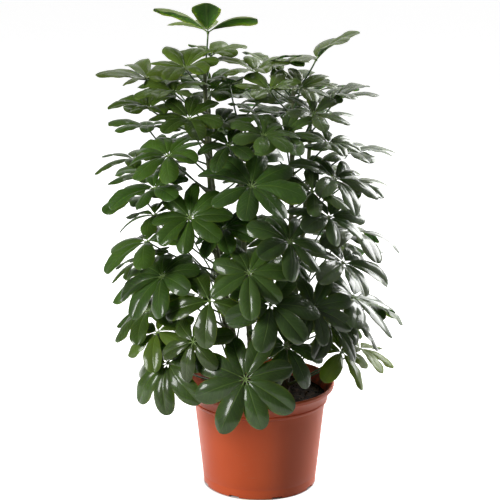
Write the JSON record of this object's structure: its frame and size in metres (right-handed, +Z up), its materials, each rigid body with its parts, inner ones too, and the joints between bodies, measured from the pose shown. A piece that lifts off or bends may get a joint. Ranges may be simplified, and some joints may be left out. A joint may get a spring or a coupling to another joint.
{
  "type": "potted umbrella plant",
  "caption": "Bushy umbrella plant with palmate glossy leaves on long stalks, standing in soil in a round terracotta-coloured plastic nursery pot.",
  "frame": {"origin": "centre of the pot's flat underside, on the surface that the pot stands on", "axes": "+Z up along the pot's axis, -Y towards the front of the plant, +X to the viewer's right"},
  "size_m": [0.4259, 0.4182, 0.6908],
  "materials": {
    "pot_plastic": "satin",
    "potting_soil": "matte",
    "foliage": "satin"
  },
  "bodies": {
    "root": {"pot": "pot_plastic", "soil": "potting_soil", "stem_left": "foliage", "stem_centre": "foliage", "stem_right": "foliage", "stem_back_left": "foliage", "stem_back_right": "foliage"}
  },
  "joints": []
}
